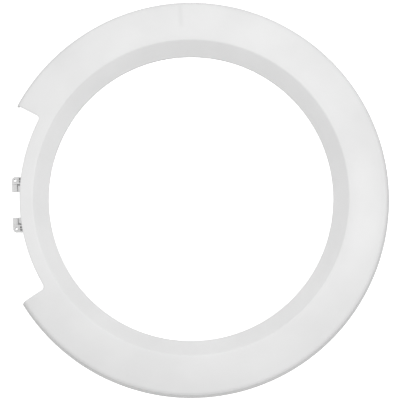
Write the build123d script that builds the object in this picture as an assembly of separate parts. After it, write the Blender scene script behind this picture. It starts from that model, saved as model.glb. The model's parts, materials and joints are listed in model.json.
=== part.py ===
"""Outer door ring of a front-loading washing machine, moulded in one piece from white plastic.

Millimetres. The ring lies face up. Z is its axis and points out of the front, and the hinge notch
is on the -X side. The origin is the centre of the porthole, on the plane where the door glass seats.
"""

from build123d import *
import math
import os

# Front, seen along the axis
outer_diameter = 410.0  # at the rear rim, where the ring is widest
porthole_diameter = 293.0
cone_width = 16.0  # from the porthole out to the ridge
wall = 2.5

# Heights along the axis, measured from the glass seat
rim_depth = 16.0  # back to the rear rim
lip_length = 8.0  # straight wall of the porthole
ridge_height = 24.0  # corner of cone and face before its break
edge_height = 10.5  # corner of face and skirt before rounding
face_crown = 1.8  # bulge of the face over a straight slope
skirt_draft = 6.0  # degrees

# Corners of the section
edge_round = 6.0
ridge_break = 0.9  # narrow flat along the ridge, on each side of its corner
inside_chamfer = 2.5  # behind the edge round

# Hinge notch
notch_angle = 60.0  # degrees between its two radial ends
notch_land = 13.5  # face left between the ridge and the notch floor
notch_corner_round = 4.0
notch_edge_round = 1.0
notch_wall_run = 6.0  # floor wall beyond each end, behind the face

# Screw bosses for the inner door ring
boss_count = 8
boss_diameter = 8.0
boss_depth = 8.0  # from the seat back to the boss end
boss_gap = 1.5  # between a boss and the notch wall
pilot_diameter = 3.2
pilot_length = 14.0

# Ribs through the bosses, stepped to seat the glass
rib_thickness = 1.8
rib_depth = 6.0  # from the seat back to the rib's rear edge
glass_overlap = 10.5  # glass rim beyond the porthole

# Hinge lugs, a mirrored pair on the notch floor
hinge_hole_spacing = 50.0
hinge_hole_reach = 5.0  # from the notch floor out to the hole
hinge_hole_diameter = 2.6
lug_corner_round = 3.6  # about the hole
lug_length = 15.2  # along the notch floor
lug_front = 3.0  # from the seat back to the lug's front face
lug_height = 7.0
lug_floor = 2.5  # left under the pockets
lug_web = 1.5  # walls round the pockets
collar_diameter = 5.0
collar_height = 0.6
bay_length = 4.5  # pocket beside the hole
bay_web_drop = 1.5  # low web across that pocket
well_length = 1.6  # small pocket behind the bay
slit_reach = 3.1  # from the notch floor out to the slit's far side
slit_width = 1.1
block_step = 1.0  # outer block below the front face

overrun = 10.0  # how far a cutting shape runs past what it cuts

# Places worked out from those sizes
porthole_radius = porthole_diameter / 2
ridge_radius = porthole_radius + cone_width
rim_radius = outer_diameter / 2
draft_slope = math.tan(math.radians(skirt_draft))
edge_radius = rim_radius - (rim_depth + edge_height) * draft_slope
notch_floor_radius = ridge_radius + notch_land
glass_radius = porthole_radius + glass_overlap
boss_circle_radius = notch_floor_radius - wall - boss_gap - boss_diameter / 2
hinge_hole_x = -notch_floor_radius - hinge_hole_reach
hinge_hole_y = hinge_hole_spacing / 2
lug_front_z = -lug_front
lug_rear_z = -lug_front - lug_height


def corner(shape, point):
    """The vertex of a shape that lies nearest to a point."""
    return shape.vertices().sort_by_distance(point)[0]


def between(x_near, x_far, y_near, y_far):
    """A rectangle given by its sides."""
    size = (abs(x_far - x_near), abs(y_far - y_near))
    return Pos((x_near + x_far) / 2, (y_near + y_far) / 2) * Rectangle(*size)


def upright(plan, z_low, z_high):
    """A plan drawn on the seat plane, extruded between two heights."""
    return Pos(0, 0, z_low) * extrude(plan, z_high - z_low)


def right_of(heading):
    """The direction to the right of a heading."""
    return Vector(heading.Y, -heading.X)


def set_in(point, arriving, leaving, inset):
    """A corner moved until it lies the inset distance to the right of both of its sides."""
    first = right_of(arriving)
    second = right_of(leaving)
    return point + (first + second) * (inset / (1 + first.dot(second)))


def ring_section(inset):
    """Half section of the filled ring, radius by height, with its moulded faces set in.

    An inset section runs on behind the rear rim, so that it opens the ring there, and has flat
    faces, two slopes for the crown and a chamfer for the edge round.
    """
    run_on = overrun if inset else 0.0
    rear_z = -rim_depth - run_on
    edge = Vector(edge_radius, edge_height)
    rim = Vector(rim_radius + run_on * draft_slope, rear_z)
    heel = Vector(porthole_radius, rear_z)
    lip = Vector(porthole_radius, lip_length)
    ridge = Vector(ridge_radius, ridge_height)

    face = (edge - ridge).normalized()
    face_bend = math.degrees(2 * math.atan(2 * face_crown / (edge - ridge).length))
    skirt = (rim - edge).normalized()
    rear = (heel - rim).normalized()
    bore = (lip - heel).normalized()
    cone = (ridge - lip).normalized()

    crown = (ridge + edge) / 2 + right_of(face) * (inset - face_crown)
    edge = set_in(edge, face.rotate(Axis.Z, -face_bend), skirt, inset)
    rim = set_in(rim, skirt, rear, inset)
    heel = set_in(heel, rear, bore, inset)
    lip = set_in(lip, bore, cone, inset)
    ridge = set_in(ridge, cone, face.rotate(Axis.Z, face_bend), inset)

    sides = Polyline(edge, rim, heel, lip, ridge)
    if inset:
        section = make_face(sides + Polyline(ridge, crown, edge))
        return chamfer(corner(section, edge), inside_chamfer)
    section = make_face(sides + ThreePointArc(ridge, crown, edge))
    section = fillet(corner(section, edge), edge_round)
    return chamfer(corner(section, ridge), ridge_break)


def notch_plan(inset):
    """Plan of the hinge notch, a sector with rounded inner corners, grown by the inset distance."""
    floor_radius = notch_floor_radius - inset
    far_radius = rim_radius + overrun
    upper_end = Vector(-1, 0).rotate(Axis.Z, -notch_angle / 2)
    beyond = right_of(upper_end) * inset
    inner = upper_end * math.sqrt(floor_radius**2 - inset**2) + beyond
    outer = upper_end * math.sqrt(far_radius**2 - inset**2) + beyond
    inner_mirrored = Vector(inner.X, -inner.Y)
    outer_mirrored = Vector(outer.X, -outer.Y)
    outline = ThreePointArc(inner, Vector(-floor_radius, 0), inner_mirrored)
    outline = outline + Line(inner_mirrored, outer_mirrored)
    outline = outline + ThreePointArc(outer_mirrored, Vector(-far_radius, 0), outer)
    outline = outline + Line(outer, inner)
    plan = make_face(outline)
    for point in (inner, inner_mirrored):
        plan = fillet(corner(plan, point), notch_corner_round + inset)
    return plan


def ring_form(inset):
    """The filled ring with its notch, every moulded face set in by the same distance."""
    body = revolve(Plane.XZ * ring_section(inset), Axis.Z)
    return body - upright(notch_plan(inset), -rim_depth - 2 * overrun, ridge_height + overrun)


def notch_wall_plan():
    """Plan of the wall under the notch floor, a curved strip that runs on beyond the notch's ends."""
    half_angle = notch_angle / 2 + math.degrees(notch_wall_run / notch_floor_radius)
    outer_arc = CenterArc((0, 0), notch_floor_radius, 180 - half_angle, 2 * half_angle)
    inner_arc = CenterArc((0, 0), notch_floor_radius - wall, 180 - half_angle, 2 * half_angle)
    ends = Line(outer_arc @ 0, inner_arc @ 0) + Line(outer_arc @ 1, inner_arc @ 1)
    return make_face(outer_arc + inner_arc + ends)


def hollow():
    """The space behind the moulded faces, open to the rear and at the notch's ends."""
    body = revolve(Plane.XZ * ring_section(wall), Axis.Z)
    return body - upright(notch_wall_plan(), -rim_depth - 2 * overrun, ridge_height + overrun)


def on_notch_rim(edge):
    """Whether an edge runs along the front rim of the notch."""
    place = edge.center()
    side = abs(math.degrees(math.atan2(place.Y, -place.X)))
    out = math.hypot(place.X, place.Y)
    tolerance = 0.1
    in_plan = side < notch_angle / 2 + tolerance and out > notch_floor_radius - tolerance
    return in_plan and place.Z > tolerance - rim_depth


def shell():
    """The moulded wall: the outside form with a rounded notch rim, hollowed from behind."""
    outside = ring_form(0.0)
    rim = outside.edges().filter_by(Axis.Z, reverse=True).filter_by(on_notch_rim)
    return fillet(rim, notch_edge_round) - hollow()


def stiffening():
    """Screw bosses behind the face with a radial rib through each, reaching half way into the wall."""
    rib_length = rim_radius - porthole_radius
    rib_plan = Pos(porthole_radius + rib_length / 2, 0) * Rectangle(rib_length, rib_thickness)
    boss_plan = Pos(boss_circle_radius, 0) * Circle(boss_diameter / 2)
    rib = upright(rib_plan, -rib_depth, ridge_height)
    boss = upright(boss_plan, -boss_depth, ridge_height)
    ribbed_boss = rib + boss
    around = PolarLocations(0, boss_count, 180 / boss_count)
    return (Part() + around * ribbed_boss) & ring_form(wall / 2)


def pilot_holes():
    """Blind holes up the screw bosses."""
    around = PolarLocations(boss_circle_radius, boss_count, 180 / boss_count)
    plan = Sketch() + around * Circle(pilot_diameter / 2)
    return upright(plan, -boss_depth, pilot_length - boss_depth)


def hinge_lug():
    """The cored lug on the +Y side of the notch floor, with its screw hole."""
    outer_x = hinge_hole_x - lug_corner_round
    root_x = -ridge_radius
    end_y = hinge_hole_y + lug_corner_round
    start_y = end_y - lug_length
    pocket_z = lug_rear_z + lug_floor

    wall_middle = Circle(notch_floor_radius - wall / 2)
    outline = between(outer_x, root_x, start_y, end_y)
    outline = fillet(corner(outline, Vector(outer_x, end_y)), lug_corner_round)
    lug = upright(outline - wall_middle, lug_rear_z, lug_front_z)

    bay_x = hinge_hole_x + collar_diameter / 2 + lug_web
    bay_end = end_y - lug_web
    bay_start = bay_end - bay_length
    bay_middle = (bay_start + bay_end) / 2
    bay = between(bay_x, root_x, bay_start, bay_end)
    bay_web = between(bay_x, root_x, bay_middle - lug_web / 2, bay_middle + lug_web / 2)
    well_end = bay_start - lug_web
    well_start = well_end - well_length
    slit_x = -notch_floor_radius - slit_reach
    well = between(slit_x, root_x, well_start, well_end)
    slit = between(slit_x, slit_x + slit_width, start_y, well_start)
    block = between(outer_x, slit_x, start_y, well_end)

    lug = lug - upright(bay + well + slit, pocket_z, lug_front_z)
    lug = lug + upright(bay_web - wall_middle, pocket_z, lug_front_z - bay_web_drop)
    lug = lug - upright(block, lug_front_z - block_step, lug_front_z)
    hole_at = Pos(hinge_hole_x, hinge_hole_y)
    lug = lug + upright(hole_at * Circle(collar_diameter / 2), lug_front_z, lug_front_z + collar_height)
    hole = upright(hole_at * Circle(hinge_hole_diameter / 2), lug_rear_z, lug_front_z + collar_height)
    return lug - hole


def outer_door_ring():
    """The whole moulding."""
    upper_lug = hinge_lug()
    lower_lug = mirror(upper_lug, Plane.XZ)
    glass_space = upright(Circle(glass_radius), -rim_depth - overrun, 0.0)
    ring = shell() + stiffening() - glass_space - pilot_holes()
    return ring + upper_lug + lower_lug


os.makedirs("parts", exist_ok=True)
export_step(outer_door_ring(), "parts/outer_door_ring.step")
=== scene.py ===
"""Studio scene of a washing machine outer door ring, moulded in one piece from white plastic.

Metres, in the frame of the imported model. Z is the ring's axis and points out of its front, the hinge
notch is on the -X side, and the origin is the centre of the porthole, where the door glass seats.
"""

import json
import logging
import math
from contextlib import contextmanager
from dataclasses import dataclass
from enum import Enum
from typing import Callable, Iterator, Sequence

import bmesh
import bpy
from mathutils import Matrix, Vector


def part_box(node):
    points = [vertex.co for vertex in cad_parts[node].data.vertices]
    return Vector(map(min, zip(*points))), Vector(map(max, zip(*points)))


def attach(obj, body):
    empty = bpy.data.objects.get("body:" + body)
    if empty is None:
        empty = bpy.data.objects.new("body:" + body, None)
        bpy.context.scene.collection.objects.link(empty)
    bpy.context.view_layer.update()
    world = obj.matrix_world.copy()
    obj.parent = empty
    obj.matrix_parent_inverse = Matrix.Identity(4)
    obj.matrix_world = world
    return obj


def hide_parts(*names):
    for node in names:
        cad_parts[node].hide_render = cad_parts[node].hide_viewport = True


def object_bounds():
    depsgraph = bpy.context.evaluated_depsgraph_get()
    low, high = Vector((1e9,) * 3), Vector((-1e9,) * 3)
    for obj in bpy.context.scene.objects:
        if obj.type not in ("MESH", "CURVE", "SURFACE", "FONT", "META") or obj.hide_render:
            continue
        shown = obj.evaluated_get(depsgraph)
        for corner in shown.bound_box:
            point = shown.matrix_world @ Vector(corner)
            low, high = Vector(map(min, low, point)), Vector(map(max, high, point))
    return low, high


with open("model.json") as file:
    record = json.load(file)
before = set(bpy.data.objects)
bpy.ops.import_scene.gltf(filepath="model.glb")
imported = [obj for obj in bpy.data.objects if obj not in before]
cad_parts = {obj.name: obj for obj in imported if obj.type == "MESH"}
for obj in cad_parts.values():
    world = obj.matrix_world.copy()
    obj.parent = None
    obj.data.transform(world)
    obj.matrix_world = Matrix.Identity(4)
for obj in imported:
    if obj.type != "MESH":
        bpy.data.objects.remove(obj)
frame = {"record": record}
cad_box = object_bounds()

MM = 0.001
RING_NODE = "outer_door_ring"
RING_PIECE = "door_ring"
PLASTIC_SLOT = "white_plastic"
DOUBLES = 0.002 * MM  # vertices nearer to each other than this are merged
PIN_SIDES = 40  # flats round a pin or a hole
UPRIGHT = 0.01  # largest Z of an upright wall's unit normal
MIX_INPUTS = (0, 6, 7)  # share, first colour and second colour of a mix node
MIX_OUTPUT = 2  # its mixed colour
FADE_IN = (0.0, 1.0)  # what a ramp gives at its two ends
FADE_OUT = (1.0, 0.0)
WHITE = (1.0, 1.0, 1.0, 1.0)  # with its alpha
Tone = tuple[float, float, float]
log = logging.getLogger(RING_NODE)


class Fusing(Enum):
    """What a solid does to the piece that it meets."""

    ADD = "UNION"
    CUT = "DIFFERENCE"


class LugSide(Enum):
    """The two hinge lugs, by the sign of their Y."""

    UPPER = 1.0
    LOWER = -1.0


class RampShape(Enum):
    """How a ramp runs between its ends."""

    STRAIGHT = "LINEAR"
    SMOOTH = "SMOOTHSTEP"


class Arithmetic(Enum):
    """Steps of arithmetic in a finish."""

    SIZE = "ABSOLUTE"
    PRODUCT = "MULTIPLY"


# Hand tools


def deselect_all() -> None:
    """Leaves nothing selected, so that an operator acts only on what follows."""
    bpy.ops.object.select_all(action="DESELECT")


def activate(piece: bpy.types.Object) -> None:
    """Selects one piece alone and makes it the active one.

    Args:
        piece: The object that the next operator acts on.
    """
    deselect_all()
    piece.select_set(True)
    bpy.context.view_layer.objects.active = piece


@contextmanager
def editing(piece: bpy.types.Object) -> Iterator[None]:
    """Opens a piece in edit mode with all of it selected, and closes it again.

    Args:
        piece: The mesh object to edit.

    Returns:
        A context in which mesh operators act on the piece.
    """
    activate(piece)
    bpy.ops.object.mode_set(mode="EDIT")
    bpy.ops.mesh.select_all(action="SELECT")
    yield
    bpy.ops.object.mode_set(mode="OBJECT")


def new_piece(name: str) -> bpy.types.Object:
    """Names the active object, which was just made, and its mesh.

    Args:
        name: Name of both.

    Returns:
        The named piece.
    """
    piece = bpy.context.active_object
    piece.name = name
    piece.data.name = name
    return piece


def settle() -> None:
    """Merges the doubles of the mesh in edit mode and points its faces outwards."""
    bpy.ops.mesh.select_all(action="SELECT")
    bpy.ops.mesh.remove_doubles(threshold=DOUBLES)
    bpy.ops.mesh.normals_make_consistent(inside=False)


def draw_loop(name: str, points: Sequence[Vector]) -> bpy.types.Object:
    """Draws a closed loop of edges by extruding one vertex from point to point.

    Args:
        name: Name of the new piece.
        points: Corners of the loop in order, each once.

    Returns:
        The new piece, which has edges only.
    """
    deselect_all()
    bpy.ops.mesh.primitive_plane_add(size=MM)
    piece = new_piece(name)
    with editing(piece):
        bpy.ops.mesh.merge(type="CENTER")
        bpy.ops.transform.translate(value=points[0])
        for here, there in zip(points, [*points[1:], points[0]]):
            bpy.ops.mesh.extrude_vertices_move(TRANSFORM_OT_translate={"value": there - here})
        bpy.ops.mesh.select_all(action="SELECT")
        bpy.ops.mesh.remove_doubles(threshold=DOUBLES)
    return piece


def turned_solid(name: str, outline: Sequence[Vector], steps: int) -> bpy.types.Object:
    """Spins a closed half section round the Z axis.

    Args:
        name: Name of the new piece.
        outline: Corners of the section, radius by height.
        steps: Number of steps in the full turn.

    Returns:
        The turned piece. Its seams lie half a step off the X axis.
    """
    half_step = math.pi / steps
    start = Vector((math.cos(half_step), math.sin(half_step)))
    piece = draw_loop(name, [Vector((p.x * start.x, p.x * start.y, p.y)) for p in outline])
    with editing(piece):
        bpy.ops.mesh.spin(steps=steps, angle=math.tau, center=(0, 0, 0), axis=(0, 0, 1))
        settle()
    return piece


def raised_solid(name: str, outline: Sequence[Vector], rise: Vector) -> bpy.types.Object:
    """Fills a closed loop and extrudes it.

    Args:
        name: Name of the new piece.
        outline: Corners of the flat outline, in space.
        rise: How far and which way the outline is extruded.

    Returns:
        The new piece.
    """
    piece = draw_loop(name, outline)
    with editing(piece):
        bpy.ops.mesh.edge_face_add()
        bpy.ops.mesh.extrude_region_move(TRANSFORM_OT_translate={"value": rise})
        settle()
    return piece


def block(name: str, low: Sequence[float], high: Sequence[float]) -> bpy.types.Object:
    """A cube stretched between two corners.

    Args:
        name: Name of the new piece.
        low: Its lowest corner.
        high: Its highest corner.

    Returns:
        The new piece.
    """
    deselect_all()
    bpy.ops.mesh.primitive_cube_add(size=1.0)
    piece = new_piece(name)
    size = Vector(high) - Vector(low)
    middle = (Vector(high) + Vector(low)) / 2
    with editing(piece):
        bpy.ops.transform.resize(value=size, center_override=(0, 0, 0))
        bpy.ops.transform.translate(value=middle)
    return piece


def pin(name: str, axis: Vector, radius: float, low: float, high: float) -> bpy.types.Object:
    """An upright cylinder between two heights.

    Args:
        name: Name of the new piece.
        axis: Where its axis stands, in plan.
        radius: Its radius.
        low: Height of its lower end.
        high: Height of its upper end.

    Returns:
        The new piece.
    """
    deselect_all()
    bpy.ops.mesh.primitive_cylinder_add(vertices=PIN_SIDES, radius=radius, depth=high - low)
    piece = new_piece(name)
    with editing(piece):
        bpy.ops.transform.translate(value=(axis.x, axis.y, (low + high) / 2))
    return piece


def fuse(piece: bpy.types.Object, tool: bpy.types.Object, how: Fusing) -> None:
    """Adds a solid to a piece or cuts it out, and uses the solid up.

    Args:
        piece: The piece that is kept.
        tool: The solid that is added or cut away.
        how: Whether it is added or cut.
    """
    activate(piece)
    bpy.ops.object.modifier_add(type="BOOLEAN")
    modifier = piece.modifiers[-1]
    modifier.operation = how.value
    modifier.solver = "EXACT"
    modifier.object = tool
    bpy.ops.object.modifier_apply(modifier=modifier.name)
    bpy.data.objects.remove(tool)


def copy_of(piece: bpy.types.Object, name: str) -> bpy.types.Object:
    """Copies a piece, with a mesh of its own.

    Args:
        piece: The piece to copy.
        name: Name of the copy.

    Returns:
        The copy.
    """
    activate(piece)
    bpy.ops.object.duplicate(linked=False)
    return new_piece(name)


def joined(name: str, pieces: Sequence[bpy.types.Object]) -> bpy.types.Object:
    """Puts several pieces together in one mesh.

    Args:
        name: Name of the joined piece.
        pieces: The pieces, which are used up.

    Returns:
        The joined piece.
    """
    activate(pieces[0])
    for piece in pieces:
        piece.select_set(True)
    bpy.ops.object.join()
    return new_piece(name)


def round_edges(
    piece: bpy.types.Object,
    chosen: Callable[[bmesh.types.BMEdge], bool],
    width: float,
    segments: int,
) -> None:
    """Rounds some edges of a piece.

    Args:
        piece: The piece, with all its parts already in one mesh.
        chosen: A test that is true for an edge to be rounded.
        width: How far the round reaches from the edge.
        segments: Number of its flats.
    """
    with editing(piece):
        bpy.ops.mesh.select_all(action="DESELECT")
        mesh = bmesh.from_edit_mesh(piece.data)
        for edge in mesh.edges:
            edge.select_set(chosen(edge))
        bmesh.update_edit_mesh(piece.data)
        bpy.ops.mesh.bevel(
            offset=width,
            segments=segments,
            affect="EDGES",
            clamp_overlap=False,
            loop_slide=False,
        )


def arc(hub: Vector, start: Vector, end: Vector, steps: int) -> list[Vector]:
    """Points of an arc, ends included, going round the hub by the shorter way.

    Args:
        hub: Centre of the arc.
        start: Its first point.
        end: Its last point.
        steps: Number of chords.

    Returns:
        The points in order.
    """
    first = math.atan2(start.y - hub.y, start.x - hub.x)
    last = math.atan2(end.y - hub.y, end.x - hub.x)
    sweep = (last - first + math.pi) % math.tau - math.pi
    radius = (start - hub).length
    angles = [first + sweep * i / steps for i in range(steps + 1)]
    return [hub + radius * Vector((math.cos(a), math.sin(a))) for a in angles]


def line_to_circle(start: Vector, heading: Vector, hub: Vector, radius: float) -> Vector:
    """The point where a line that starts inside a circle leaves it.

    Args:
        start: A point inside the circle.
        heading: Unit direction of the line.
        hub: Centre of the circle.
        radius: Radius of the circle.

    Returns:
        The point on the circle.
    """
    out = start - hub
    along = out.dot(heading)
    return start + heading * (math.sqrt(along**2 - out.length_squared + radius**2) - along)


def right_of(heading: Vector) -> Vector:
    """The direction to the right of a heading."""
    return Vector((heading.y, -heading.x))


def across(point: Vector) -> Vector:
    """The mirror image of a point on the other side of the ring's middle."""
    return Vector((point.x, -point.y))


# The ring's moulded wall


@dataclass(frozen=True)
class RingSection:
    """Half section of the ring, radius by height, with its corners before they are rounded."""

    porthole_radius: float
    rim_radius: float
    rear_z: float
    lip_length: float
    cone_width: float = 16.0 * MM
    ridge_height: float = 24.0 * MM
    edge_height: float = 10.5 * MM
    face_crown: float = 1.8 * MM
    skirt_draft: float = math.radians(6.0)
    edge_round: float = 6.0 * MM
    ridge_round: float = 2.1 * MM
    glass_overlap: float = 10.5 * MM
    wall: float = 2.5 * MM
    overrun: float = 10.0 * MM
    face_steps: int = 10
    edge_steps: int = 10
    ridge_steps: int = 5

    @property
    def seat_radius(self) -> float:
        """Radius of the glass rim that seats behind the lip."""
        return self.porthole_radius + self.glass_overlap

    @property
    def lip(self) -> Vector:
        """Corner of the porthole's straight wall and the cone."""
        return Vector((self.porthole_radius, self.lip_length))

    @property
    def ridge(self) -> Vector:
        """Corner of the cone and the face."""
        return Vector((self.porthole_radius + self.cone_width, self.ridge_height))

    @property
    def rim(self) -> Vector:
        """Rear end of the skirt."""
        return Vector((self.rim_radius, self.rear_z))

    @property
    def up_skirt(self) -> Vector:
        """Unit direction up the skirt from the rim."""
        return Vector((-math.sin(self.skirt_draft), math.cos(self.skirt_draft)))

    @property
    def up_cone(self) -> Vector:
        """Unit direction up the cone from the lip."""
        return (self.ridge - self.lip).normalized()

    def face_circle(self) -> tuple[Vector, float]:
        """The circle on which the crowned face lies.

        Returns:
            Its centre and its radius.
        """
        skirt_height = self.edge_height - self.rear_z
        edge = self.rim + self.up_skirt * (skirt_height / self.up_skirt.y)
        chord = edge - self.ridge
        radius = chord.length_squared / (8 * self.face_crown) + self.face_crown / 2
        middle = (self.ridge + edge) / 2
        return middle + right_of(chord.normalized()) * (radius - self.face_crown), radius

    def front(self, inset: float) -> list[Vector]:
        """The front from the lip over the ridge and the face to the skirt, set in by a distance.

        Args:
            inset: How far the line lies inside the wall.

        Returns:
            Points along the line.
        """
        hub, radius = self.face_circle()
        into_cone = right_of(self.up_cone)
        lip = self.lip + into_cone * inset
        lip += self.up_cone * ((self.porthole_radius + inset - lip.x) / self.up_cone.x)

        ridge_inset = max(self.ridge_round, inset)
        ridge_start = self.lip + into_cone * ridge_inset
        ridge_hub = line_to_circle(ridge_start, self.up_cone, hub, radius - ridge_inset)
        on_cone = ridge_hub - into_cone * (ridge_inset - inset)
        on_face = hub + (ridge_hub - hub).normalized() * (radius - inset)
        ridge = [on_face]
        if inset < ridge_inset:
            ridge = arc(ridge_hub, on_cone, on_face, self.ridge_steps)

        into_skirt = -right_of(self.up_skirt)
        edge_start = self.rim + into_skirt * self.edge_round
        edge_hub = line_to_circle(edge_start, self.up_skirt, hub, radius - self.edge_round)
        off_face = hub + (edge_hub - hub).normalized() * (radius - inset)
        on_skirt = edge_hub - into_skirt * (self.edge_round - inset)
        face = arc(hub, on_face, off_face, self.face_steps)
        edge = arc(edge_hub, off_face, on_skirt, self.edge_steps)
        return [lip, *ridge, *face[1:], *edge[1:]]

    def skirt_at(self, inset: float, height: float) -> Vector:
        """The point of the skirt at a height, set in by a distance."""
        start = self.rim - right_of(self.up_skirt) * inset
        return start + self.up_skirt * ((height - start.y) / self.up_skirt.y)

    def face_height(self, radius: float, inset: float) -> float:
        """Height of the face at a radius, set in by a distance."""
        hub, bend = self.face_circle()
        return hub.y + math.sqrt((bend - inset) ** 2 - (radius - hub.x) ** 2)

    def outside(self) -> list[Vector]:
        """Outline of the ring's outside, filled behind but for the glass's place.

        Returns:
            Corners of the closed half section.
        """
        return [
            *self.front(0.0),
            self.rim,
            Vector((self.seat_radius, self.rear_z)),
            Vector((self.seat_radius, 0.0)),
            Vector((self.porthole_radius, 0.0)),
        ]

    def hollow(self) -> list[Vector]:
        """Outline of the space behind the wall, run on past the rear rim.

        Returns:
            Corners of the closed half section.
        """
        behind = self.rear_z - self.overrun
        return [
            *self.front(self.wall),
            self.skirt_at(self.wall, behind),
            Vector((self.porthole_radius + self.wall, behind)),
        ]


@dataclass(frozen=True)
class HingeNotch:
    """The notch in the ring's outline where the door hinge goes."""

    section: RingSection
    land: float = 13.5 * MM
    half_angle: float = math.radians(30.0)
    corner_round: float = 4.0 * MM
    edge_round: float = 1.0 * MM
    wall_run: float = 6.0 * MM
    wall_spare: float = 0.1 * MM
    reach: float = 250.0 * MM
    corner_steps: int = 6
    floor_steps: int = 40

    @property
    def floor_radius(self) -> float:
        """Radius of the notch's curved floor, which leaves some land beside the ridge."""
        return self.section.ridge.x + self.land

    @property
    def upper_end(self) -> Vector:
        """Unit direction along the upper end of the notch, out from the axis."""
        return Vector((-math.cos(self.half_angle), math.sin(self.half_angle)))

    @property
    def corner_hub(self) -> Vector:
        """Centre of the upper corner's round."""
        out = math.sqrt((self.floor_radius + self.corner_round) ** 2 - self.corner_round**2)
        return self.upper_end * out - right_of(self.upper_end) * self.corner_round

    def plan(self) -> list[Vector]:
        """The notch seen along the axis.

        Returns:
            Corners from the upper end over the floor to the lower end.
        """
        hub = self.corner_hub
        off_end = hub + right_of(self.upper_end) * self.corner_round
        on_floor = hub.normalized() * self.floor_radius
        upper = [self.upper_end * self.reach]
        upper += arc(hub, off_end, on_floor, self.corner_steps)
        floor = arc(Vector((0.0, 0.0)), on_floor, across(on_floor), self.floor_steps)
        lower = [across(point) for point in reversed(upper)]
        return [*upper, *floor[1:-1], *lower]

    def wall_plan(self, thickness: float) -> list[Vector]:
        """Plan of the wall under the notch floor, which runs on beyond the notch's ends.

        Args:
            thickness: How thick the wall is.

        Returns:
            Corners of the closed strip. It stands out by the spare, so that a cut along it stays
            clear of the notch floor.
        """
        hub = Vector((0.0, 0.0))
        half = self.half_angle + self.wall_run / self.floor_radius
        upper = Vector((-math.cos(half), math.sin(half)))
        outer = upper * (self.floor_radius + self.wall_spare)
        inner = upper * (self.floor_radius - thickness)
        outside = arc(hub, outer, across(outer), self.floor_steps)
        inside = arc(hub, across(inner), inner, self.floor_steps)
        return [*outside, *inside]


@dataclass(frozen=True)
class RingShell:
    """The moulded wall: cone, ridge, face and skirt, and the wall under the notch floor."""

    section: RingSection
    notch: HingeNotch
    steps: int = 240
    rim_segments: int = 4

    def post(self, name: str, plan: Sequence[Vector]) -> bpy.types.Object:
        """A plan raised through the whole height of the ring and beyond.

        Args:
            name: Name of the new piece.
            plan: Corners of its outline, seen along the axis.

        Returns:
            The new piece.
        """
        low = self.section.rear_z - 2 * self.section.overrun
        high = self.section.ridge_height + self.section.overrun
        outline = [Vector((point.x, point.y, low)) for point in plan]
        return raised_solid(name, outline, Vector((0, 0, high - low)))

    def on_rim(self, edge: bmesh.types.BMEdge) -> bool:
        """Whether an edge lies between an upright wall of the notch and a face that looks forwards.

        Args:
            edge: An edge of the ring.

        Returns:
            True on the notch's front rim, on the face and down the skirt.
        """
        tilts = sorted(face.normal.z for face in edge.link_faces)
        nearest = min(math.hypot(vertex.co.x, vertex.co.y) for vertex in edge.verts)
        lowest = min(vertex.co.z for vertex in edge.verts)
        on_face = lowest > 0 and nearest > self.notch.floor_radius - self.notch.wall_spare
        on_skirt = nearest > self.section.rim_radius - 2 * self.section.wall
        return (on_face or on_skirt) and abs(tilts[0]) < UPRIGHT < tilts[-1]

    def round_rim(self, ring: bpy.types.Object) -> None:
        """Rounds the front rim of the notch on the finished ring."""
        round_edges(ring, self.on_rim, self.notch.edge_round, self.rim_segments)

    def build(self) -> bpy.types.Object:
        """The ring with its notch, hollowed from behind and open at the notch's ends.

        Returns:
            The moulded wall, with its rim still sharp.
        """
        shell = turned_solid("ring_shell", self.section.outside(), self.steps)
        fuse(shell, self.post("notch", self.notch.plan()), Fusing.CUT)
        hollow = turned_solid("ring_hollow", self.section.hollow(), self.steps)
        fuse(hollow, self.post("notch_wall", self.notch.wall_plan(self.section.wall)), Fusing.CUT)
        fuse(shell, hollow, Fusing.CUT)
        return shell


# Bosses and lugs


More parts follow.
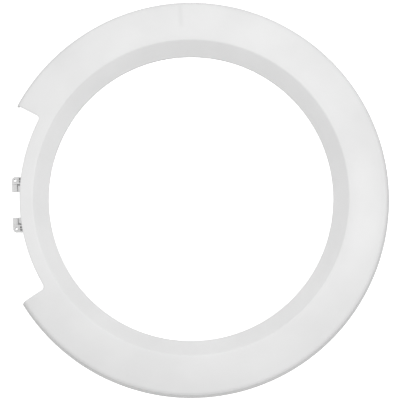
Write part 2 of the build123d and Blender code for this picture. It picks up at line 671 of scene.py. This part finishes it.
@dataclass(frozen=True)
class RibbedBosses:
    """Screw bosses for the inner door ring, each with a radial rib through it that seats the glass."""

    section: RingSection
    notch: HingeNotch
    circle_radius: float
    end_z: float
    count: int
    pilot_radius: float
    boss_radius: float = 4.0 * MM
    pilot_length: float = 14.0 * MM
    rib_thickness: float = 1.8 * MM
    rib_depth: float = 6.0 * MM

    def rib_outline(self, behind_notch: bool) -> list[Vector]:
        """Outline of a rib, radius by height, reaching half way into the wall.

        Args:
            behind_notch: Whether the rib ends at the notch's wall and not at the skirt.

        Returns:
            Corners of the closed outline.
        """
        middle = self.section.wall / 2
        front = self.section.front(middle)
        foot = -self.rib_depth
        if behind_notch:
            end = self.notch.floor_radius - middle
            front = [p for p in front if p.x < end]
            front.append(Vector((end, self.section.face_height(end, middle))))
            outer_foot = Vector((end, foot))
        else:
            outer_foot = self.section.skirt_at(middle, foot)
        seat = self.section.seat_radius
        glass_step = [Vector((seat, foot)), Vector((seat, 0.0))]
        return [*front, outer_foot, *glass_step, Vector((front[0].x, 0.0))]

    def one(self, name: str, behind_notch: bool) -> bpy.types.Object:
        """One boss with its rib, on the X axis.

        Args:
            name: Name of the new piece.
            behind_notch: Whether it stands behind the notch.

        Returns:
            The new piece.
        """
        half = self.rib_thickness / 2
        outline = [Vector((p.x, -half, p.y)) for p in self.rib_outline(behind_notch)]
        piece = raised_solid(name, outline, Vector((0, self.rib_thickness, 0)))
        axis = Vector((self.circle_radius, 0.0))
        top = self.section.face_height(self.circle_radius, self.section.wall / 2)
        fuse(piece, pin("boss", axis, self.boss_radius, self.end_z, top), Fusing.ADD)
        mouth = self.end_z - self.section.overrun
        bottom = self.end_z + self.pilot_length
        fuse(piece, pin("pilot", axis, self.pilot_radius, mouth, bottom), Fusing.CUT)
        return piece

    def build(self) -> list[bpy.types.Object]:
        """All the bosses, each turned to its place, with the X axis half way between two.

        Returns:
            The bosses, one piece each.
        """
        pieces: list[bpy.types.Object] = []
        patterns = {False: self.one("ribbed_boss", False), True: self.one("short_ribbed_boss", True)}
        for i in range(self.count):
            angle = math.tau * (i + 0.5) / self.count
            behind_notch = abs(angle - math.pi) < self.notch.half_angle
            piece = copy_of(patterns[behind_notch], f"ribbed_boss_{i + 1}")
            with editing(piece):
                bpy.ops.transform.rotate(value=angle, orient_axis="Z", center_override=(0, 0, 0))
            pieces.append(piece)
        for pattern in patterns.values():
            bpy.data.objects.remove(pattern)
        return pieces


@dataclass(frozen=True)
class HingeLugs:
    """The mirrored pair of cored lugs on the notch floor, each with a screw hole."""

    section: RingSection
    notch: HingeNotch
    hole_at: Vector
    hole_radius: float
    rear_z: float
    height: float = 7.0 * MM
    length: float = 15.2 * MM
    corner_round: float = 3.6 * MM
    floor: float = 2.5 * MM
    web: float = 1.5 * MM
    collar_radius: float = 2.5 * MM
    collar_height: float = 0.6 * MM
    bay_length: float = 4.5 * MM
    bay_web_drop: float = 1.5 * MM
    well_length: float = 1.6 * MM
    slit_reach: float = 3.1 * MM
    slit_width: float = 1.1 * MM
    block_step: float = 1.0 * MM
    edge_break: float = 0.15 * MM
    edge_segments: int = 2
    sharp_angle: float = math.radians(50.0)
    corner_steps: int = 8

    @property
    def front_z(self) -> float:
        """Height of the lug's front face."""
        return self.rear_z + self.height

    @property
    def outer_x(self) -> float:
        """X of the lugs' outer side."""
        return self.hole_at.x - self.corner_round

    @property
    def end_y(self) -> float:
        """Y of the upper lug's end beside its hole."""
        return self.hole_at.y + self.corner_round

    @property
    def start_y(self) -> float:
        """Y of the upper lug's other end, nearer to the notch's middle."""
        return self.end_y - self.length

    def in_wall(self, y: float) -> Vector:
        """The point half way into the notch's wall at a distance from the notch's middle."""
        radius = self.notch.floor_radius - self.section.wall / 2
        return Vector((-math.sqrt(radius**2 - y**2), y))

    def body(self) -> bpy.types.Object:
        """The upper lug's solid body, with a round corner about its hole.

        Returns:
            The lug, not cored yet.
        """
        on_side = Vector((self.hole_at.x, self.end_y))
        on_end = Vector((self.outer_x, self.hole_at.y))
        outline = [
            self.in_wall(self.start_y),
            self.in_wall(self.end_y),
            *arc(self.hole_at, on_side, on_end, self.corner_steps),
            Vector((self.outer_x, self.start_y)),
        ]
        rise = Vector((0, 0, self.height))
        return raised_solid("hinge_lug", [Vector((p.x, p.y, self.rear_z)) for p in outline], rise)

    def core(self, lug: bpy.types.Object) -> None:
        """Cuts the pockets out of the upper lug and leaves the low web across the bay.

        Args:
            lug: The solid lug.
        """
        wall_x = -self.notch.floor_radius
        inside_x = wall_x + self.section.wall
        root_x = inside_x + self.section.wall  # clear of the lug, which ends within the wall
        pocket_z = self.rear_z + self.floor
        above = self.front_z + self.section.overrun

        bay_x = self.hole_at.x + self.collar_radius + self.web
        bay_end = self.end_y - self.web
        bay_start = bay_end - self.bay_length
        bay_middle = (bay_start + bay_end) / 2
        well_end = bay_start - self.web
        well_start = well_end - self.well_length
        slit_x = wall_x - self.slit_reach
        outside_y = self.start_y - self.section.overrun

        bay = block("bay", (bay_x, bay_start, pocket_z), (root_x, bay_end, above))
        bend = [
            (root_x, well_end),
            (slit_x, well_end),
            (slit_x, outside_y),
            (slit_x + self.slit_width, outside_y),
            (slit_x + self.slit_width, well_start),
            (root_x, well_start),
        ]
        outline = [Vector((x, y, pocket_z)) for x, y in bend]
        well = raised_solid("well_and_slit", outline, Vector((0, 0, above - pocket_z)))
        step_low = (self.outer_x - self.section.overrun, outside_y, self.front_z - self.block_step)
        step = block("step", step_low, (slit_x, well_end, above))
        for cutter in (bay, well, step):
            fuse(lug, cutter, Fusing.CUT)

        half = self.web / 2
        in_wall_x = inside_x - self.section.wall / 4
        web_low = (bay_x - half, bay_middle - half, pocket_z - half)
        web_high = (in_wall_x, bay_middle + half, self.front_z - self.bay_web_drop)
        fuse(lug, block("bay_web", web_low, web_high), Fusing.ADD)

    def drill(self, lug: bpy.types.Object) -> None:
        """Adds the collar round the upper lug's hole and drills it.

        Args:
            lug: The cored lug.
        """
        collar_top = self.front_z + self.collar_height
        collar = pin("collar", self.hole_at, self.collar_radius, self.front_z - self.floor, collar_top)
        fuse(lug, collar, Fusing.ADD)
        margin = self.section.overrun
        hole = pin("hole", self.hole_at, self.hole_radius, self.rear_z - margin, collar_top + margin)
        fuse(lug, hole, Fusing.CUT)

    def on_lug(self, edge: bmesh.types.BMEdge) -> bool:
        """Whether an edge is a sharp outer one of a lug.

        Args:
            edge: An edge of the ring.

        Returns:
            True on a lug's outer edges, but not in its inner corners or where it meets the notch's wall.
        """
        farthest = max(math.hypot(vertex.co.x, vertex.co.y) for vertex in edge.verts)
        highest = max(vertex.co.z for vertex in edge.verts)
        widest = max(abs(vertex.co.y) for vertex in edge.verts)
        off_wall = farthest > self.notch.floor_radius + self.notch.wall_spare
        beside = widest < self.end_y + self.notch.wall_spare
        below = highest < self.front_z + self.collar_height + self.notch.wall_spare
        sharp = edge.is_convex and edge.calc_face_angle(0.0) > self.sharp_angle
        return off_wall and beside and below and sharp

    def break_edges(self, ring: bpy.types.Object) -> None:
        """Takes the sharpness off the lugs' edges on the finished ring."""
        round_edges(ring, self.on_lug, self.edge_break, self.edge_segments)

    def build(self) -> list[bpy.types.Object]:
        """Both lugs, the lower one a mirrored copy.

        Returns:
            The lugs, one piece each.
        """
        pattern = self.body()
        self.core(pattern)
        self.drill(pattern)
        pieces: list[bpy.types.Object] = []
        for side in LugSide:
            lug = copy_of(pattern, f"hinge_lug_{side.name.lower()}")
            with editing(lug):
                bpy.ops.transform.resize(value=(1, side.value, 1), center_override=(0, 0, 0))
                settle()
            pieces.append(lug)
        bpy.data.objects.remove(pattern)
        return pieces


# Finishes


class NodeBoard:
    """The node tree of a finish or of the sky, with short ways to add nodes and link them."""

    def __init__(self, owner: bpy.types.Material | bpy.types.World) -> None:
        """Empties the owner's tree.

        Args:
            owner: The material or the world that the tree dresses.
        """
        owner.use_nodes = True
        self.tree = owner.node_tree
        self.tree.nodes.clear()

    def add(self, kind: str, **settings: object) -> bpy.types.Node:
        """Adds a node and sets its own properties.

        Args:
            kind: Type name of the node.
            **settings: Properties of the node by name.

        Returns:
            The new node.
        """
        node = self.tree.nodes.new(kind)
        for key, value in settings.items():
            setattr(node, key, value)
        return node

    def link(self, source: bpy.types.NodeSocket, target: bpy.types.NodeSocket) -> None:
        """Links an output to an input."""
        self.tree.links.new(source, target)

    def noise(self, place: bpy.types.NodeSocket, scale: float, detail: float) -> bpy.types.NodeSocket:
        """A cloud pattern in space.

        Args:
            place: Where the pattern is read.
            scale: Its fineness, per metre.
            detail: Number of finer layers.

        Returns:
            The pattern's value, about 0 to 1.
        """
        node = self.add("ShaderNodeTexNoise")
        node.inputs["Scale"].default_value = scale
        node.inputs["Detail"].default_value = detail
        self.link(place, node.inputs["Vector"])
        return node.outputs["Fac"]

    def ramp(
        self,
        value: bpy.types.NodeSocket,
        span: tuple[float, float],
        gives: tuple[float, float],
        shape: RampShape = RampShape.SMOOTH,
    ) -> bpy.types.NodeSocket:
        """Turns one range of a value into another, and stops at its ends.

        Args:
            value: The value to turn.
            span: Where the range begins and ends.
            gives: What it gives at the beginning and at the end.
            shape: Whether it runs straight or eases in and out.

        Returns:
            The turned value.
        """
        node = self.add("ShaderNodeMapRange", interpolation_type=shape.value, clamp=True)
        for socket, number in zip(("From Min", "From Max", "To Min", "To Max"), (*span, *gives)):
            node.inputs[socket].default_value = number
        self.link(value, node.inputs["Value"])
        return node.outputs["Result"]

    def reckon(
        self,
        step: Arithmetic,
        first: bpy.types.NodeSocket,
        second: bpy.types.NodeSocket | float = 0.0,
    ) -> bpy.types.NodeSocket:
        """One step of arithmetic.

        Args:
            step: What is done with the values.
            first: The first value.
            second: The second value, or a number. A size has none.

        Returns:
            The result.
        """
        node = self.add("ShaderNodeMath", operation=step.value)
        self.link(first, node.inputs[0])
        if isinstance(second, float):
            node.inputs[1].default_value = second
        else:
            self.link(second, node.inputs[1])
        return node.outputs[0]

    def tint(
        self,
        share: bpy.types.NodeSocket,
        low: bpy.types.NodeSocket | Tone,
        high: Tone,
    ) -> bpy.types.NodeSocket:
        """A colour between two.

        Args:
            share: How far from the first colour to the second.
            low: The first colour, set or linked.
            high: The second colour.

        Returns:
            The mixed colour.
        """
        node = self.add("ShaderNodeMix", data_type="RGBA")
        factor, first, second = (node.inputs[i] for i in MIX_INPUTS)
        self.link(share, factor)
        if isinstance(low, bpy.types.NodeSocket):
            self.link(low, first)
        else:
            first.default_value = (*low, 1.0)
        second.default_value = (*high, 1.0)
        return node.outputs[MIX_OUTPUT]

    def finish(self, kind: str, surface: bpy.types.NodeSocket) -> None:
        """Links a shader to the tree's output node."""
        self.link(surface, self.add(kind).inputs["Surface"])


@dataclass(frozen=True)
class WhitePlastic:
    """Semi-gloss white moulded plastic, faintly clouded, with a flow mark where the melt met."""

    low_tone: Tone = (0.78, 0.78, 0.78)
    high_tone: Tone = (0.82, 0.82, 0.82)
    mark_tone: Tone = (0.76, 0.76, 0.76)
    refraction: float = 1.46
    roughness: tuple[float, float] = (0.18, 0.24)
    cloud_scale: float = 14.0
    cloud_detail: float = 3.0
    gloss_scale: float = 60.0
    gloss_detail: float = 2.0
    skin_scale: float = 1400.0
    skin_detail: float = 2.0
    skin_depth: float = 0.01 * MM
    skin_strength: float = 0.4
    patch_span: tuple[float, float] = (0.3, 0.7)
    mark_angle: float = math.radians(91.5)
    mark_width: float = 4.0 * MM
    mark_start: float = 177.0 * MM
    mark_end: float = 199.0 * MM
    mark_fade: float = 4.0 * MM

    def flow_mark(self, board: NodeBoard, place: bpy.types.NodeSocket) -> bpy.types.NodeSocket:
        """Where the flow mark lies, a short radial streak across the upper face.

        Args:
            board: The material's tree.
            place: Object coordinates.

        Returns:
            A value that is 1 along the middle of the mark.
        """
        turn = board.add("ShaderNodeVectorRotate", rotation_type="Z_AXIS")
        turn.inputs["Angle"].default_value = -self.mark_angle
        board.link(place, turn.inputs["Vector"])
        axes = board.add("ShaderNodeSeparateXYZ")
        board.link(turn.outputs["Vector"], axes.inputs["Vector"])
        out = axes.outputs["X"]
        fade = self.mark_fade
        aside = board.reckon(Arithmetic.SIZE, axes.outputs["Y"])
        streak = board.ramp(aside, (0.0, self.mark_width), FADE_OUT)
        inner = board.ramp(out, (self.mark_start - fade, self.mark_start + fade), FADE_IN)
        outer = board.ramp(out, (self.mark_end - fade, self.mark_end + fade), FADE_OUT)
        begun = board.reckon(Arithmetic.PRODUCT, streak, inner)
        return board.reckon(Arithmetic.PRODUCT, begun, outer)

    def material(self) -> bpy.types.Material:
        """The finish as a material.

        Returns:
            The material, named for its slot in the record.
        """
        material = bpy.data.materials.new(PLASTIC_SLOT)
        board = NodeBoard(material)
        place = board.add("ShaderNodeTexCoord").outputs["Object"]
        shader = board.add("ShaderNodeBsdfPrincipled")
        shader.inputs["IOR"].default_value = self.refraction

        clouds = board.noise(place, self.cloud_scale, self.cloud_detail)
        share = board.ramp(clouds, self.patch_span, FADE_IN)
        cloudy = board.tint(share, self.low_tone, self.high_tone)
        marked = board.tint(self.flow_mark(board, place), cloudy, self.mark_tone)
        board.link(marked, shader.inputs["Base Color"])

        gloss = board.noise(place, self.gloss_scale, self.gloss_detail)
        board.link(board.ramp(gloss, self.patch_span, self.roughness), shader.inputs["Roughness"])

        skin = board.add("ShaderNodeBump")
        skin.inputs["Strength"].default_value = self.skin_strength
        skin.inputs["Distance"].default_value = self.skin_depth
        grain = board.noise(place, self.skin_scale, self.skin_detail)
        board.link(grain, skin.inputs["Height"])
        board.link(skin.outputs["Normal"], shader.inputs["Normal"])

        board.finish("ShaderNodeOutputMaterial", shader.outputs["BSDF"])
        return material


@dataclass(frozen=True)
class PaleFloor:
    """A pale studio floor, lighter under the porthole, that rises at its far edge and shows white."""

    radius: float = 9.0
    rise: float = 2.0
    steps: int = 96
    cove_steps: int = 8
    low_tone: Tone = (0.63, 0.63, 0.63)
    high_tone: Tone = (0.66, 0.66, 0.66)
    middle_tone: Tone = (0.92, 0.92, 0.92)
    middle_radius: float = 160.0 * MM
    middle_fade: float = 10.0 * MM
    roughness: float = 0.9
    shine: float = 0.0
    patch_scale: float = 1.5
    patch_detail: float = 2.0
    glow: float = 0.85

    def material(self) -> bpy.types.Material:
        """The floor's matt white, faintly uneven, which glows for the camera alone.

        Returns:
            The material.
        """
        material = bpy.data.materials.new("pale_floor")
        board = NodeBoard(material)
        place = board.add("ShaderNodeTexCoord").outputs["Object"]
        shader = board.add("ShaderNodeBsdfPrincipled")
        shader.inputs["Roughness"].default_value = self.roughness
        shader.inputs["Specular IOR Level"].default_value = self.shine
        shader.inputs["Emission Color"].default_value = WHITE
        seen = board.add("ShaderNodeLightPath").outputs["Is Camera Ray"]
        glow = board.reckon(Arithmetic.PRODUCT, seen, self.glow)
        board.link(glow, shader.inputs["Emission Strength"])

        reach = board.add("ShaderNodeVectorMath", operation="LENGTH")
        board.link(place, reach.inputs[0])
        span = (self.middle_radius - self.middle_fade, self.middle_radius + self.middle_fade)
        middle = board.ramp(reach.outputs["Value"], span, FADE_OUT)
        patches = board.noise(place, self.patch_scale, self.patch_detail)
        tone = board.tint(patches, self.low_tone, self.high_tone)
        board.link(board.tint(middle, tone, self.middle_tone), shader.inputs["Base Color"])

        board.finish("ShaderNodeOutputMaterial", shader.outputs["BSDF"])
        return material

    def build(self, height: float) -> bpy.types.Object:
        """The floor at a height, with its cove.

        Args:
            height: Where the ring's rear rim rests.

        Returns:
            The floor.
        """
        deselect_all()
        bpy.ops.mesh.primitive_circle_add(vertices=self.steps, radius=self.radius, fill_type="NGON")
        floor = new_piece("studio_floor")
        with editing(floor):
            bpy.ops.transform.translate(value=(0, 0, height))
            bpy.ops.mesh.select_mode(type="EDGE")
            bpy.ops.mesh.region_to_loop()
            turn = math.pi / 2 / self.cove_steps
            chord = 2 * self.rise * math.sin(turn / 2)
            for i in range(self.cove_steps):
                slope = turn * (i + 0.5)
                here = self.radius + self.rise * math.sin(turn * i)
                spread = 1 + chord * math.cos(slope) / here
                lift = (0, 0, chord * math.sin(slope))
                bpy.ops.mesh.extrude_edges_move(TRANSFORM_OT_translate={"value": lift})
                bpy.ops.transform.resize(value=(spread, spread, 1), center_override=(0, 0, height))
            settle()
        activate(floor)
        bpy.ops.object.shade_smooth()
        floor.data.materials.append(self.material())
        return floor


# Studio


def direction(azimuth: float, elevation: float) -> Vector:
    """The way from the ring to a light or the camera.

    Args:
        azimuth: Its angle in plan, in degrees, turning from +X to +Y.
        elevation: Its angle above the floor, in degrees.

    Returns:
        The unit direction.
    """
    a = math.radians(azimuth)
    e = math.radians(elevation)
    return Vector((math.cos(e) * math.cos(a), math.cos(e) * math.sin(a), math.sin(e)))


@dataclass(frozen=True)
class SoftLight:
    """A square studio light that faces the ring."""

    name: str
    azimuth: float
    elevation: float
    distance: float
    size: float
    power: float

    def build(self) -> bpy.types.Object:
        """The light, in its place and turned to the ring.

        Returns:
            The light.
        """
        out = direction(self.azimuth, self.elevation)
        deselect_all()
        bpy.ops.object.light_add(type="AREA", location=out * self.distance)
        light = bpy.context.active_object
        light.name = self.name
        light.data.shape = "SQUARE"
        light.data.size = self.size
        light.data.energy = self.power
        light.visible_camera = False
        light.rotation_euler = out.to_track_quat("Z", "Y").to_euler()
        return light


@dataclass(frozen=True)
class GradedSky:
    """Light from all round, strong from above and weaker towards the horizon."""

    zenith: float = 0.97
    horizon: float = 0.66
    start: float = -0.2
    lean: tuple[float, float] = (-0.25, 0.03)

    def build(self) -> bpy.types.World:
        """The sky, made the scene's own.

        Returns:
            The world that holds it.
        """
        world = bpy.data.worlds.new("studio_sky")
        board = NodeBoard(world)
        height = board.add("ShaderNodeVectorMath", operation="DOT_PRODUCT")
        board.link(board.add("ShaderNodeTexCoord").outputs["Generated"], height.inputs[0])
        height.inputs[1].default_value = Vector((*self.lean, 1.0)).normalized()
        gives = (self.horizon, self.zenith)
        strength = board.ramp(height.outputs["Value"], (self.start, 1.0), gives, RampShape.STRAIGHT)
        background = board.add("ShaderNodeBackground")
        background.inputs["Color"].default_value = WHITE
        board.link(strength, background.inputs["Strength"])
        board.finish("ShaderNodeOutputWorld", background.outputs["Background"])
        bpy.context.scene.world = world
        return world


@dataclass(frozen=True)
class PhotoCamera:
    """The camera above the ring, where the photograph was taken."""

    azimuth: float = -91.8
    elevation: float = 86.3
    distance: float = 4.1
    frame_width: float = 414.0 * MM
    aim_x: float = 9.2 * MM
    aim_y: float = -0.42 * MM
    sensor_width: float = 36.0
    clip_end: float = 50.0

    def build(self, height: float) -> bpy.types.Object:
        """The camera, made the scene's own.

        Args:
            height: Height of the plane in which the frame's width is measured.

        Returns:
            The camera.
        """
        out = direction(self.azimuth, self.elevation)
        aim = Vector((self.aim_x, self.aim_y, height))
        deselect_all()
        bpy.ops.object.camera_add(location=aim + out * self.distance)
        camera = bpy.context.active_object
        camera.name = "photo_camera"
        camera.data.sensor_width = self.sensor_width
        camera.data.lens = self.sensor_width * self.distance / self.frame_width
        camera.data.clip_end = self.clip_end
        camera.rotation_euler = out.to_track_quat("Z", "Y").to_euler()
        bpy.context.scene.camera = camera
        return camera


@dataclass(frozen=True)
class Studio:
    """Floor, soft lights, graded sky and camera."""

    floor: PaleFloor = PaleFloor()
    sky: GradedSky = GradedSky()
    camera: PhotoCamera = PhotoCamera()
    upper: SoftLight = SoftLight(
        name="upper_light",
        azimuth=74.0,
        elevation=46.0,
        distance=5.2,
        size=4.0,
        power=34.0,
    )
    side: SoftLight = SoftLight(
        name="side_light",
        azimuth=0.0,
        elevation=50.0,
        distance=4.6,
        size=2.0,
        power=17.0,
    )

    def build(self, height: float) -> list[bpy.types.Object]:
        """The whole studio.

        Args:
            height: Height of the floor.

        Returns:
            The studio's objects.
        """
        bpy.context.scene.view_settings.view_transform = "Standard"
        self.sky.build()
        lights = [self.upper.build(), self.side.build()]
        return [self.floor.build(height), *lights, self.camera.build(height)]


# The whole ring


@dataclass(frozen=True)
class OuterDoorRing:
    """The one-piece moulding: shell, ribbed bosses and hinge lugs."""

    shell: RingShell
    bosses: RibbedBosses
    lugs: HingeLugs
    finish: WhitePlastic
    smooth_angle: float = math.radians(32.0)

    @classmethod
    def from_frame(cls, record: dict, box: tuple[Vector, Vector]) -> "OuterDoorRing":
        """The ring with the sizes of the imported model.

        Args:
            record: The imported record, whose mounts give the bores and screw holes.
            box: The ring's lowest and highest corners.

        Returns:
            The ring, not built yet.
        """
        mounts = {mount["name"]: mount for mount in record["mounts"]}
        porthole = mounts["porthole"]["dims"]
        inner_ring = mounts["inner_ring_screws"]
        hinge = mounts["hinge_screws"]
        section = RingSection(
            porthole_radius=porthole["r_mm"] * MM,
            rim_radius=box[1].y,
            rear_z=mounts["rear_rim"]["pos_m"][2],
            lip_length=porthole["length_mm"] * MM,
        )
        notch = HingeNotch(section)
        bosses = RibbedBosses(
            section=section,
            notch=notch,
            circle_radius=inner_ring["dims"]["pcd_mm"] / 2 * MM,
            end_z=inner_ring["pos_m"][2],
            count=inner_ring["dims"]["count"],
            pilot_radius=inner_ring["dims"]["hole_r_mm"] * MM,
        )
        lugs = HingeLugs(
            section=section,
            notch=notch,
            hole_at=Vector((hinge["pos_m"][0], hinge["dims"]["spacing_y_mm"] / 2 * MM)),
            hole_radius=hinge["dims"]["hole_r_mm"] * MM,
            rear_z=hinge["pos_m"][2],
        )
        return cls(RingShell(section, notch), bosses, lugs, WhitePlastic())

    def build(self) -> bpy.types.Object:
        """The moulding as one closed mesh, rounded only after its parts are one.

        Returns:
            The moulding, not dressed yet.
        """
        ring = self.shell.build()
        behind = joined("bosses_and_lugs", [*self.bosses.build(), *self.lugs.build()])
        fuse(ring, behind, Fusing.ADD)
        with editing(ring):
            settle()
        self.shell.round_rim(ring)
        self.lugs.break_edges(ring)
        with editing(ring):
            settle()
        activate(ring)
        bpy.ops.object.shade_smooth_by_angle(angle=self.smooth_angle)
        return new_piece(RING_PIECE)

    def dress(self, ring: bpy.types.Object) -> None:
        """Gives the moulding its finish and puts it in the model's place.

        Args:
            ring: The built moulding.
        """
        ring.data.materials.clear()
        ring.data.materials.append(self.finish.material())
        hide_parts(RING_NODE)
        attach(ring, "root")


def main() -> None:
    """Builds the ring and the studio round it, and reports each piece."""
    logging.basicConfig(level=logging.INFO, format="%(message)s")
    ring = OuterDoorRing.from_frame(frame["record"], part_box(RING_NODE))
    piece = ring.build()
    ring.dress(piece)
    log.info("%s: %d faces", piece.name, len(piece.data.polygons))
    for item in Studio().build(cad_box[0].z):
        log.info("%s: %s", item.name, item.type.lower())


if __name__ == "__main__":
    main()
